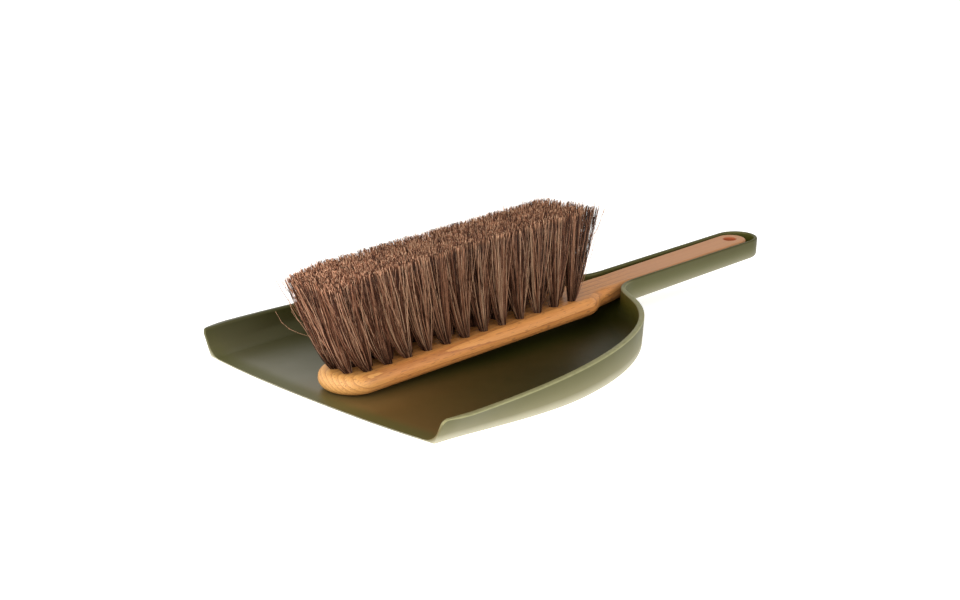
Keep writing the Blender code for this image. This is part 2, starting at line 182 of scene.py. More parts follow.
# ---- camera and lights ----
CAMERA_AZIMUTH = 46.694
CAMERA_ELEVATION = 16.534
CAMERA_DISTANCE = 1.05
CAMERA_LENS_MM = 68.93
SENSOR_WIDTH_MM = 36.0
CAMERA_TARGET = Vector((0.0006, LIP_Y + 0.1199, 0.030))
LIGHT_TARGET = Vector((0.0, LIP_Y + 0.16, 0.03))
LIGHT_COLOUR = (1.0, 0.96, 0.89)


# ---------------------------------------------------------------- helpers
def add_piece(name, mesh, material, body, slot, *nodes):
    """A visible piece that rides on a body, takes the material in a slot and stands for CAD nodes; slot
    is not used.
    """
    obj = bpy.data.objects.new(name, mesh)
    bpy.context.scene.collection.objects.link(obj)
    mesh.materials.append(material)
    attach(obj, body)
    if nodes:
        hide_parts(*nodes)
    return obj


def finish_mesh(bm, name, sharp_angle=40.0):
    """A smooth-shaded mesh whose edges are sharp above an angle."""
    bmesh.ops.recalc_face_normals(bm, faces=bm.faces)
    mesh = bpy.data.meshes.new(name)
    bm.to_mesh(mesh)
    bm.free()
    mesh.shade_smooth()
    mesh.set_sharp_from_angle(angle=math.radians(sharp_angle))
    return mesh


def smooth_step(value, start, length):
    """0 before start, 1 after start + length, and an eased rise between."""
    share = min(max((value - start) / length, 0.0), 1.0)
    return share * share * (3.0 - 2.0 * share)


def spaced(points, count):
    """Points evenly spaced along a polyline, its ends kept."""
    points = np.array(points)
    steps = np.linalg.norm(np.diff(points, axis=0), axis=1)
    travel = np.concatenate([[0.0], np.cumsum(steps)])
    wanted = np.linspace(0.0, travel[-1], count)
    columns = [np.interp(wanted, travel, points[:, axis]) for axis in (0, 1)]
    return [tuple(p) for p in np.stack(columns, axis=1)]


def outward_normals(outline):
    """Plan normals of an outline that runs from the front to the back on the right."""
    points = np.array(outline)
    along = np.gradient(points, axis=0)
    along /= np.linalg.norm(along, axis=1)[:, None]
    return np.stack([along[:, 1], -along[:, 0]], axis=1)


def add_quads(bm, row_a, row_b):
    """Faces between two rows of vertices; a face shrinks to a triangle where two corners are one."""
    for i in range(len(row_a) - 1):
        corners = []
        for vert in (row_a[i], row_a[i + 1], row_b[i + 1], row_b[i]):
            if vert not in corners:
                corners.append(vert)
        if len(corners) > 2:
            bm.faces.new(corners)


# ---------------------------------------------------------------- dustpan
def rim_width_at(y):
    """Half width of the rim's curve, a superellipse, at this distance from the lip."""
    return RIM_HALF_WIDTH * (1.0 - (y / RIM_LENGTH) ** RIM_POWER) ** (1.0 / RIM_POWER)


def rim_curve_y(x):
    """The same curve the other way round."""
    return RIM_LENGTH * (1.0 - (x / RIM_HALF_WIDTH) ** RIM_POWER) ** (1.0 / RIM_POWER)


def rim_curve_slope(x):
    """Its slope, dy/dx."""
    y = rim_curve_y(x)
    across = (x / RIM_HALF_WIDTH) ** (RIM_POWER - 1.0) / RIM_HALF_WIDTH
    along = (y / RIM_LENGTH) ** (RIM_POWER - 1.0) / RIM_LENGTH
    return -across / along


def pan_outline():
    """Outer edge of the rim in plan, on the right, from the lip to the trough's end."""
    corner = [CORNER_RADIUS * (1.0 - math.cos(math.radians(a))) for a in range(0, 91, 9)]
    bevel = [BEVEL_LENGTH * tenths / 10 for tenths in range(5, 16)]
    front = [(rim_width_at(y), y) for y in corner + bevel]
    angles = np.linspace(0.0, math.pi / 2, 1200)
    xs = RIM_HALF_WIDTH * np.cos(angles) ** (2 / RIM_POWER)
    ys = RIM_LENGTH * np.sin(angles) ** (2 / RIM_POWER)
    side = [(x, y) for x, y in zip(xs, ys) if y > bevel[-1] and x > NECK_X]
    neck_start = (NECK_X, rim_curve_y(NECK_X))
    outline = front + spaced([front[-1]] + side + [neck_start], SIDE_POINTS)[1:]
    outline = [(x - front_tuck(y), y) for x, y in outline]
    outline += neck_points(neck_start, NECK_POINTS)[1:]
    outline += trough_points()
    return outline


def neck_points(start, count):
    """A Bezier curve from the pan's rim to the trough's straight side."""
    slope = rim_curve_slope(start[0])
    heading = np.array([-1.0, -slope]) / math.hypot(1.0, slope)
    p0 = np.array(start)
    p3 = np.array([TROUGH_HALF_WIDTH, NECK_END_Y])
    p1 = p0 + heading * NECK_PULL
    p2 = p3 - np.array([0.0, NECK_PULL])
    t = np.linspace(0.0, 1.0, 200)[:, None]
    curve = (1 - t) ** 3 * p0 + 3 * (1 - t) ** 2 * t * p1 + 3 * (1 - t) * t * t * p2 + t**3 * p3
    return spaced(curve, count)


def trough_points():
    """The straight side of the trough and its round end."""
    centre_y = TROUGH_END_Y - TROUGH_HALF_WIDTH
    straight = [(TROUGH_HALF_WIDTH, y) for y in np.linspace(NECK_END_Y, centre_y, 26)[1:]]
    turns = np.radians(np.arange(4.5, 90.1, 4.5))
    end = [(TROUGH_HALF_WIDTH * math.cos(a), centre_y + TROUGH_HALF_WIDTH * math.sin(a)) for a in turns]
    return straight + end


def underside_z(y):
    """Height of the underside: flat under the pan, then up the ramp and along the trough."""
    trough = TROUGH_BASE_Z + TROUGH_SLOPE * (y - RAMP_END_Y)
    return trough * smooth_step(y, RAMP_START_Y, RAMP_END_Y - RAMP_START_Y)


def rim_line(y):
    """Height of the rim's straight run, which curves up from the pan's to the trough's."""
    pan = RIM_FRONT_Z + RIM_SLOPE * y
    trough = TROUGH_RIM_Z + TROUGH_RIM_SLOPE * (y - RAMP_END_Y)
    return pan + (trough - pan) * smooth_step(y, RIM_RISE_START_Y, RAMP_END_Y - RIM_RISE_START_Y)


def rim_z(y):
    """Height of the rim, with its front corner rounded off."""
    height = rim_line(y)
    if y < CORNER_RADIUS:
        height -= CORNER_RADIUS - math.sqrt(CORNER_RADIUS**2 - (CORNER_RADIUS - y) ** 2)
    return height


def thinning(y):
    """Share of the full thickness: it grows from the lip and eases into the full value."""
    share = y / BEVEL_LENGTH
    eased = min(share, 1.0) - max(0.5 - abs(share - 1.0), 0.0) ** 2 / 2.0
    return BEVEL_THICKNESS + (1.0 - BEVEL_THICKNESS) * eased


def lip_bow(x, y):
    """How far a point of the pan is moved forward so that the lip bows out in plan."""
    fade = 1.0 - smooth_step(y, 0.0, LIP_BOW_LENGTH)
    return LIP_BOW * fade * max(0.0, 1.0 - (abs(x) / LIP_BOW_HALF_WIDTH) ** LIP_BOW_POWER)


def front_tuck(y):
    """How far the rim's front corner is drawn in, seen in plan."""
    return FRONT_TUCK * max(0.0, 1.0 - y / FRONT_TUCK_LENGTH) ** 2


def wall_lean(y):
    """Angle by which the wall leans out from upright."""
    lean = LEAN_FRONT + (LEAN_SIDE - LEAN_FRONT) * smooth_step(y, 0.0, LEAN_SETTLES_Y)
    back = smooth_step(y, LEAN_BACK_START_Y, LEAN_BACK_END_Y - LEAN_BACK_START_Y)
    lean += (LEAN_BACK - LEAN_SIDE) * back
    lean = math.atan(math.tan(lean) - front_tuck(y) / RIM_FRONT_Z)
    return lean + (LEAN_TROUGH - lean) * smooth_step(y, RAMP_START_Y, RAMP_END_Y - RAMP_START_Y)


def fillet_side(radius, lean, full_height, steps):
    """Insets and heights of a wall's rounded foot, from the bottom up."""
    sweep = math.pi / 2 - lean
    top = radius * (1.0 - math.cos(sweep))
    foot = radius * math.sin(sweep) + (full_height - top) * math.tan(lean)
    turns = [sweep * i / steps for i in range(steps + 1)]
    return [(foot - radius * math.sin(a), radius * (1.0 - math.cos(a))) for a in turns]


def rounded_corner(radius):
    """Distances from the corner's two sides, from the upright one round to the level one."""
    turns = [math.pi / 2 * i / EDGE_STEPS for i in range(EDGE_STEPS + 1)]
    return [(radius * (1.0 - math.cos(a)), radius * (1.0 - math.sin(a))) for a in turns]


def wall_section(y, normal_y):
    """Insets from the rim and heights, from the foot outside, over the rim, to the foot inside."""
    lean = wall_lean(y)
    share = smooth_step(y, RAMP_START_Y, RAMP_END_Y - RAMP_START_Y)
    wall = (WALL + (TROUGH_WALL - WALL) * share) * thinning(y) / math.cos(lean)
    floor = FLOOR * thinning(y)
    full = rim_line(y)
    top = rim_z(y)
    inner_radius = INNER_FILLET_PAN + (INNER_FILLET_TROUGH - INNER_FILLET_PAN) * share

    base_out = underside_z(y)
    for _ in range(3):
        outside = fillet_side(OUTER_FILLET, lean, full - base_out, FOOT_STEPS)
        base_out = underside_z(y - normal_y * outside[0][0])
    base_in = underside_z(y)
    for _ in range(3):
        inside = fillet_side(inner_radius, lean, full - base_in - floor, 12)
        base_in = underside_z(y - normal_y * (inside[0][0] + wall))

    edge = RIM_EDGE_RADIUS * thinning(y)
    drop = full - top
    section = [(inset, base_out + z) for inset, z in outside]
    side = drop + edge + RIM_BAND
    section.append((side * math.tan(lean), top - edge - RIM_BAND))
    for across, down in rounded_corner(edge):
        section.append(((drop + down) * math.tan(lean) + across, top - down))
    for across, down in reversed(rounded_corner(edge)):
        section.append(((drop + down) * math.tan(lean) + wall - across, top - down))
    section.append((side * math.tan(lean) + wall, top - edge - RIM_BAND))
    section += [(inset + wall, base_in + floor + z) for inset, z in reversed(inside)]
    return section


def floor_row(bm, right_foot, left_foot, spans=24):
    """Vertices straight across the floor from one foot of the wall to the other."""
    if right_foot is left_foot:
        return [right_foot] * (spans + 1)
    inner = [bm.verts.new(right_foot.co.lerp(left_foot.co, i / spans)) for i in range(1, spans)]
    return [right_foot] + inner + [left_foot]


def pan_normals(outline):
    """Plan normals of the rim, turned square to the lip over the tucked-in front corner."""
    normals = outward_normals(outline)
    normals[:, 1] *= [smooth_step(y, 0.0, FRONT_TUCK_LENGTH) for _, y in outline]
    normals /= np.linalg.norm(normals, axis=1)[:, None]
    normals[-1] = (0.0, 1.0)
    return normals


def lip_share(y):
    """How far a point belongs to the band along the lip."""
    return 1.0 - smooth_step(y, LIP_BAND_START, LIP_BAND_FADE)


def build_pan(material):
    """The whole moulding, from wall sections set round the rim on both sides."""
    outline = pan_outline()
    normals = pan_normals(outline)
    bm = bmesh.new()
    rim = bm.verts.layers.float.new("rim")
    outside = bm.verts.layers.float.new("outside")
    foot = bm.verts.layers.float.new("foot")
    lip = bm.verts.layers.float.new("lip")

    def ring(x, y, normal, side):
        row = []
        # painted highlight on the rim: faint on the left, full on the right up to the neck
        rim_light_share = LEFT_RIM_HIGHLIGHT
        if side > 0.0:
            rim_light_share = 1.0 - smooth_step(y, NECK_END_Y - RIM_HIGHLIGHT_FADE, RIM_HIGHLIGHT_FADE)
        for i, (inset, z) in enumerate(wall_section(y, normal[1])):
            vert = bm.verts.new((side * (x - normal[0] * inset), LIP_Y + y - normal[1] * inset, z))
            vert[rim] = rim_light_share * float(RIM_ROW <= i <= RIM_ROW + 2 * EDGE_STEPS + 1)
            vert[lip] = lip_share(y) * max(0.25, 1.0 - z / LIP_BAND_HEIGHT)
            vert[outside] = float(i < RIM_ROW + EDGE_STEPS)
            vert[foot] = max(0.0, 1.0 - (z - underside_z(y)) / FOOT_BAND)
            row.append(vert)
        return row

    right = [ring(x, y, n, 1.0) for (x, y), n in zip(outline, normals)]
    left = [ring(x, y, n, -1.0) for (x, y), n in zip(outline[:-1], normals[:-1])] + [right[-1]]
    for i in range(len(outline) - 1):
        add_quads(bm, right[i], right[i + 1])
        add_quads(bm, left[i + 1], left[i])
    top_rows = [floor_row(bm, a[-1], b[-1]) for a, b in zip(right, left)]
    under_rows = [floor_row(bm, a[0], b[0]) for a, b in zip(right, left)]
    for rows in (top_rows, under_rows):
        for i in range(len(rows) - 1):
            add_quads(bm, rows[i], rows[i + 1])
    bm.faces.new(right[0] + top_rows[0][1:-1] + left[0][::-1] + under_rows[0][1:-1][::-1])
    for (_, y), row in zip(outline, top_rows):
        for vert in row[1:-1]:
            vert[lip] = lip_share(y)
    for row in under_rows:
        for vert in row:
            vert[outside] = 1.0
    for vert in bm.verts:
        vert.co.y -= lip_bow(vert.co.x, vert.co.y - LIP_Y)

    mesh = finish_mesh(bm, "pan_moulding")
    return add_piece("pan_moulding", mesh, material, "pan", "olive_plastic", "dustpan")


# ---------------------------------------------------------------- brush wood
def block_half_width(u):
    """Half width of the wood: the block, its shoulder and the flare into the handle."""
    shoulder = BLOCK_HALF_WIDTH - SHOULDER_HALF_WIDTH
    shoulder *= 1.0 - smooth_step(u, SHOULDER_START, SHOULDER_LENGTH)
    flare = SHOULDER_HALF_WIDTH - HANDLE_HALF_WIDTH
    flare *= 1.0 - smooth_step(u, FLARE_START, FLARE_LENGTH)
    return HANDLE_HALF_WIDTH + flare + shoulder


def block_thickness(u):
    """Thickness of the wood, which thins along the handle."""
    share = min(max((u - SHOULDER_START) / (HANDLE_END - SHOULDER_START), 0.0), 1.0)
    return BLOCK_THICKNESS + (HANDLE_END_THICKNESS - BLOCK_THICKNESS) * share


def block_outline():
    """Plan outline of the wood on the right, from its nose to the end of the handle."""
    nose_u = BLOCK_TIP + BLOCK_NOSE
    end_u = HANDLE_END - HANDLE_HALF_WIDTH
    turns = np.radians(np.arange(0.0, 90.0, 3.0))
    nose = [(BLOCK_HALF_WIDTH * math.sin(a), nose_u - BLOCK_NOSE * math.cos(a)) for a in turns]
    sides = list(np.linspace(nose_u, SHOULDER_START, 12))
    sides += list(np.linspace(SHOULDER_START, FLARE_START + FLARE_LENGTH, 60)[1:])
    sides += list(np.linspace(FLARE_START + FLARE_LENGTH, end_u, 10)[1:])
    body = [(block_half_width(u), u) for u in sides]
    turns = np.radians(np.arange(4.5, 90.1, 4.5))
    end = [(HANDLE_HALF_WIDTH * math.cos(a), end_u + HANDLE_HALF_WIDTH * math.sin(a)) for a in turns]
    return nose + body + end


def edge_section(u, quarter_steps=9):
    """Rounded side of the wood: insets and heights from the bristle face down to the back."""
    thickness = block_thickness(u)
    low = thickness / 2 - EDGE_FLAT
    share = smooth_step(u, HANDLE_EDGE_START, HANDLE_EDGE_END - HANDLE_EDGE_START)
    high = low + (HANDLE_EDGE_RADIUS - low) * share
    points = []
    for quarter, radius, centre_z in ((0, high, -high), (1, low, low - thickness)):
        for i in range(quarter_steps + 1):
            angle = math.pi / 2 * (quarter + i / quarter_steps)
            points.append((radius * (1.0 - math.sin(angle)), centre_z + radius * math.cos(angle)))
    return points


def block_mesh():
    """The wood without its holes, in the brush's own frame."""
    outline = block_outline()
    normals = outward_normals(outline)
    normals[0] = (0.0, -1.0)
    normals[-1] = (0.0, 1.0)
    bm = bmesh.new()

    def ring(x, u, normal, side):
        row = []
        for inset, z in edge_section(u):
            across = side * (x - normal[0] * inset)
            row.append(bm.verts.new((across, u - normal[1] * inset - BRUSH_PIVOT, z)))
        return row

    right = [ring(x, u, n, 1.0) for (x, u), n in zip(outline, normals)]
    left = [ring(x, u, n, -1.0) for (x, u), n in zip(outline[1:-1], normals[1:-1])]
    left = [right[0]] + left + [right[-1]]
    for i in range(len(outline) - 1):
        add_quads(bm, right[i], right[i + 1])
        add_quads(bm, left[i + 1], left[i])
        add_quads(bm, [right[i][-1], left[i][-1]], [right[i + 1][-1], left[i + 1][-1]])
    bm.faces.new([row[0] for row in right] + [row[0] for row in left[-2:0:-1]])
    return finish_mesh(bm, "block")


def add_drill(bm, x, u, profile, segments):
    """A turned cutter: profile holds its radii and heights, from the top down."""
    rings = []
    for radius, z in profile:
        turns = [2.0 * math.pi * i / segments for i in range(segments)]
        circle = [(x + radius * math.cos(a), u - BRUSH_PIVOT + radius * math.sin(a), z) for a in turns]
        rings.append([bm.verts.new(co) for co in circle])
    for upper, lower in zip(rings, rings[1:]):
        add_quads(bm, upper + upper[:1], lower + lower[:1])
    bm.faces.new(rings[0])
    bm.faces.new(rings[-1])


def hang_hole_profile():
    """Radii and heights of the hanging hole, with both of its mouths rounded over."""
    radius, rounding = HANG_HOLE_RADIUS, HANG_HOLE_ROUNDING
    depth = block_thickness(HANG_HOLE_U)
    turns = [math.pi / 2 * i / 5 for i in range(6)]
    mouth = [(radius + rounding * (1 - math.sin(a)), rounding * (1 - math.cos(a))) for a in turns]
    top = [(radius + rounding, MM)] + [(r, -d) for r, d in mouth]
    return top + [(r, d - depth) for r, d in reversed(mouth)] + [(radius + rounding, -depth - MM)]


def build_block(material):
    """The wood with the hanging hole and the tuft holes cut out."""
    bm = bmesh.new()
    add_drill(bm, 0.0, HANG_HOLE_U, hang_hole_profile(), 64)
    for _, lane, count, first, last, _, _ in LANES:
        for u in np.linspace(first, last, count):
            profile = [(TUFT_HOLE_RADIUS, MM), (TUFT_HOLE_RADIUS, -TUFT_HOLE_DEPTH)]
            add_drill(bm, lane * LANE_SPACING, u, profile, 24)
    cutter = bpy.data.objects.new("hole_cutters", finish_mesh(bm, "hole_cutters"))
    blank = bpy.data.objects.new("block_blank", block_mesh())
    for obj in (cutter, blank):
        bpy.context.scene.collection.objects.link(obj)
    holes = blank.modifiers.new("holes", "BOOLEAN")
    holes.operation = "DIFFERENCE"
    holes.solver = "EXACT"
    holes.object = cutter
    even = blank.modifiers.new("even shading", "WEIGHTED_NORMAL")
    even.keep_sharp = True
    depsgraph = bpy.context.evaluated_depsgraph_get()
    mesh = bpy.data.meshes.new_from_object(blank.evaluated_get(depsgraph))
    for obj in (cutter, blank):
        bpy.data.objects.remove(obj, do_unlink=True)
    mesh.transform(BRUSH_MATRIX)
    mesh.materials.clear()
    return add_piece("beech_body", mesh, material, "brush", "beech", "brush_block")


# ---------------------------------------------------------------- hair
def hair_mesh(name, paths, tones, radius):
    """Three-sided tubes along the paths (hairs, points, 3), with tone and height as attributes."""
    hairs, points, _ = paths.shape
    along = np.gradient(paths, axis=1)
    along /= np.linalg.norm(along, axis=2, keepdims=True)
    helper = np.array([0.31, 0.95, 0.05])
    side = np.cross(along, helper)
    side /= np.linalg.norm(side, axis=2, keepdims=True)
    other = np.cross(along, side)
    taper = np.linspace(1.0, 0.8, points)[None, :, None] * radius[:, None, None]
    rings = []
    for k in range(3):
        angle = 2.0 * math.pi * k / 3
        rings.append(paths + taper * (math.cos(angle) * side + math.sin(angle) * other))
    verts = np.stack(rings, axis=2).reshape(-1, 3)

    first = np.arange(hairs)[:, None, None] * points * 3
    step = np.arange(points - 1)[None, :, None] * 3
    corner = np.arange(3)[None, None, :]
    a = first + step + corner
    b = first + step + (corner + 1) % 3
    quads = np.stack([a, b, b + 3, a + 3], axis=3).reshape(-1, 4)
    tips = (first[:, 0, :] + (points - 1) * 3) + np.arange(3)[None, :]

    mesh = bpy.data.meshes.new(name)
    mesh.vertices.add(len(verts))
    mesh.vertices.foreach_set("co", verts.ravel())
    loops = np.concatenate([quads.ravel(), tips.ravel()])
    totals = np.concatenate([np.full(len(quads), 4), np.full(len(tips), 3)])
    starts = np.concatenate([[0], np.cumsum(totals)[:-1]])
    mesh.loops.add(len(loops))
    mesh.loops.foreach_set("vertex_index", loops)
    mesh.polygons.add(len(totals))
    mesh.polygons.foreach_set("loop_start", starts)
    mesh.update(calc_edges=True)
    mesh.shade_smooth()
    tone = mesh.attributes.new("tone", "FLOAT", "POINT")
    tone.data.foreach_set("value", np.repeat(tones, points * 3).astype(np.float32))
    height = mesh.attributes.new("height", "FLOAT", "POINT")
    rise = np.tile(np.repeat(np.linspace(0.0, 1.0, points), 3), hairs)
    height.data.foreach_set("value", rise.astype(np.float32))
    mesh.transform(BRUSH_MATRIX)
    return mesh


def disc_points(rng, count):
    """Evenly scattered points of the unit disc."""
    angle = rng.uniform(0.0, 2.0 * math.pi, count)
    radius = np.sqrt(rng.uniform(0.0, 1.0, count))
    return np.stack([radius * np.cos(angle), radius * np.sin(angle)], axis=1)


def squared(disc):
    """The unit disc spread over the square from -1 to 1."""
    radius = np.linalg.norm(disc, axis=1, keepdims=True)
    largest = np.maximum(np.abs(disc).max(axis=1, keepdims=True), 1e-6)
    return disc * radius / largest


def worn_top(w, u):
    """Shift of a hair's end (w, u, height): the front is worn in, the rear has fanned out."""
    front = np.exp(-(((u - WORN_FRONT_U) / WORN_FRONT_REACH) ** 2))
    rear = np.clip((u - FAN_START_U) / FAN_LENGTH, 0.0, 1.0) ** 2
    left = np.clip(-w / BRUSH_TOP_HALF, 0.0, 1.0)
    right = np.clip(w / BRUSH_TOP_HALF, 0.0, 1.0)
    sideways = front * (0.0022 * left**2 + 0.0040 * right**2) + 0.0020 * rear * (right - left)
    lengthways = 0.0030 * front * left**2 + rear * (0.0004 + 0.0010 * (right - left))
    drop = 0.0022 * front * (left + right) ** 2
    return np.stack([sideways, lengthways, -drop], axis=1)


def tuft_paths(rng, root, top, half):
    """Hair lines of one tuft in the brush's frame, and a tone for each hair."""
    count = HAIRS_PER_TUFT
    disc = disc_points(rng, count)
    clump_seat = squared(disc_points(rng, CLUMPS_PER_TUFT))
    clump_tone = rng.normal(0.0, 0.10, CLUMPS_PER_TUFT)
    spread = squared(disc)
    nearest = np.linalg.norm(spread[:, None, :] - clump_seat[None], axis=2).argmin(axis=1)
    aim = spread + CLUMP_PULL * (clump_seat[nearest] - spread)
    wild = rng.uniform(0.0, 1.0, count) < WILD_SHARE
    reach = np.where(wild, WILD_SCATTER_MM, TAME_SCATTER_MM)[:, None] * MM
    scatter = rng.normal(0.0, 1.0, (count, 2)) * reach
    scatter[:, 0] *= 0.6
    lean = np.array([rng.normal(0.0, 0.3), rng.normal(0.0, 1.0)]) * MM
    ends = np.array(top) + lean + aim * np.array(half) * rng.uniform(0.9, 1.2) + scatter
    shift = worn_top(ends[:, 0], ends[:, 1])
    ends += shift[:, :2]

    start_z = -2.0 * MM
    short = rng.uniform(0.0, 1.0, count) < SHORT_SHARE
    cut = np.where(short, rng.uniform(1.0, 7.0, count), 0.0) - rng.normal(-0.1, 0.42, count)
    lengths = BRISTLE_LENGTH + shift[:, 2] - cut * MM
    t = np.linspace(0.0, 1.0, HAIR_POINTS)
    rise = start_z + (lengths[:, None] - start_z) * t
    opening = np.clip(rise / BRISTLE_LENGTH, 0.0, 1.0)[:, :, None]
    roots = np.array(root) + disc * TUFT_RADIUS * 0.95
    ease = rng.uniform([0.70, 0.56], [1.14, 1.10], (count, 2))[:, None, :]
    flat = roots[:, None, :] + (ends - roots)[:, None, :] * opening**ease

    waves = rng.uniform(0.5, 1.6, (count, 1)) * 2.0 * math.pi
    phase = rng.uniform(0.0, 2.0 * math.pi, (count, 1))
    heading = rng.uniform(0.0, 2.0 * math.pi, (count, 1))
    swing = np.where(wild, 1.7, rng.uniform(0.1, 0.7, count))[:, None] * MM
    bend = swing * np.sin(waves * t + phase) * opening[:, :, 0]
    flat[:, :, 0] += bend * np.cos(heading)
    flat[:, :, 1] += bend * np.sin(heading)
    paths = np.concatenate([flat, rise[:, :, None]], axis=2)
    paths[:, :, 1] -= BRUSH_PIVOT
    pale = rng.uniform(0.0, 1.0, count) < PALE_SHARE
    tones = np.where(pale, rng.uniform(0.6, 1.0, count), rng.uniform(0.0, 0.5, count))
    tones = np.clip(tones + clump_tone[nearest], 0.0, 1.0)
    tones = np.where(wild, np.maximum(tones, rng.uniform(0.3, 0.8, count)), tones)
    return paths, tones


def stray_paths(rng, root, bends, tip, count):
    """Long loose hairs that leave the bundle: a curve from the root, drawn by two bends, to the tip."""
    t = np.linspace(0.0, 1.0, HAIR_POINTS)[None, :, None]
    start = np.array([root[0], root[1] - BRUSH_PIVOT, 0.0])
    first = start + np.array(bends[0]) * MM
    second = start + np.array(bends[1]) * MM + rng.normal(0.0, 1.5, (count, 1, 3)) * MM
    end = start + np.array(tip) * MM + rng.normal(0.0, 2.5, (count, 1, 3)) * MM
    leaving = (1.0 - t) ** 3 * start + 3.0 * (1.0 - t) ** 2 * t * first
    paths = leaving + 3.0 * (1.0 - t) * t**2 * second + t**3 * end
    return paths, rng.uniform(0.65, 0.95, count)


def build_hair(material):
    """One piece of hair for each CAD tuft, lane by lane."""
    for index, (lane_name, lane, count, first, last, top_front, top_back) in enumerate(LANES):
        cell = (top_back - top_front) / count
        half = (TOP_LANE_SPACING / 2, cell / 2)
        for i, u in enumerate(np.linspace(first, last, count)):
            rng = np.random.default_rng(SEED + 100 * index + i)
            root = (lane * LANE_SPACING, u)
            top = (lane * TOP_LANE_SPACING, top_front + cell * (i + 0.5))
            paths, tones = tuft_paths(rng, root, top, half)
            loose = None
            if i == 0 and lane <= 0:
                loose = stray_paths(rng, root, FRONT_BENDS, FRONT_TIP, FRONT_STRAYS)
            if i == count - 1 and lane >= -1:
                loose = stray_paths(rng, root, REAR_BENDS, REAR_TIP, REAR_STRAYS)
            if loose:
                paths = np.concatenate([paths, loose[0]])
                tones = np.concatenate([tones, loose[1]])
            radius = HAIR_RADIUS * rng.uniform(0.7, 1.3, len(paths))
            radius[HAIRS_PER_TUFT:] *= STRAY_THINNESS
            label = f"{lane_name}_{i + 1:02d}"
            mesh = hair_mesh(f"hair_{label}", paths, tones, radius)
            add_piece(f"hair_{label}", mesh, material, "brush", "horsehair", f"tuft_{label}")


# ---------------------------------------------------------------- materials
BLACK = (0.0, 0.0, 0.0)
WHITE = (1.0, 1.0, 1.0)


class Nodes:
    """Short ways to add and link the nodes of one material."""

    def __init__(self, name):
        self.material = bpy.data.materials.new(name)
        self.material.use_nodes = True
        self.tree = self.material.node_tree
        self.shader = self.tree.nodes["Principled BSDF"]

    def add(self, kind, inputs=None, **settings):
        node = self.tree.nodes.new(kind)
        for key, value in settings.items():
            setattr(node, key, value)
        for key, value in (inputs or {}).items():
            self.feed(node.inputs[key], value)
        return node

    def feed(self, socket, value):
        if isinstance(value, bpy.types.NodeSocket):
            self.tree.links.new(value, socket)
        else:
            socket.default_value = value

    def math(self, operation, *values):
        node = self.add("ShaderNodeMath", operation=operation)
        for socket, value in zip(node.inputs, values):
            self.feed(socket, value)
        return node.outputs[0]

    def ramp(self, factor, stops):
        node = self.add("ShaderNodeValToRGB", {"Fac": factor})
        elements = node.color_ramp.elements
        while len(elements) < len(stops):
            elements.new(0.5)
        for element, (position, colour) in zip(elements, stops):
            element.position = position
            element.color = (*colour, 1.0)
        return node.outputs["Color"]

    def mix(self, factor, a, b, blend="MIX"):
        node = self.add("ShaderNodeMix", data_type="RGBA", blend_type=blend)
        for socket, value in ((node.inputs[0], factor), (node.inputs[6], a), (node.inputs[7], b)):
            if isinstance(value, tuple):
                value = (*value, 1.0)
            self.feed(socket, value)
        return node.outputs[2]

    def noise(self, vector, scale, detail=2.0, roughness=0.5):
        inputs = {"Vector": vector, "Scale": scale, "Detail": detail, "Roughness": roughness}
        return self.add("ShaderNodeTexNoise", inputs).outputs["Fac"]

    def stretched(self, vector, scale):
        node = self.add("ShaderNodeVectorMath", {0: vector, 1: scale}, operation="MULTIPLY")
        return node.outputs[0]

    def attribute(self, name):
        return self.add("ShaderNodeAttribute", attribute_name=name).outputs["Fac"]

    def position(self):
        return self.add("ShaderNodeTexCoord").outputs["Object"]


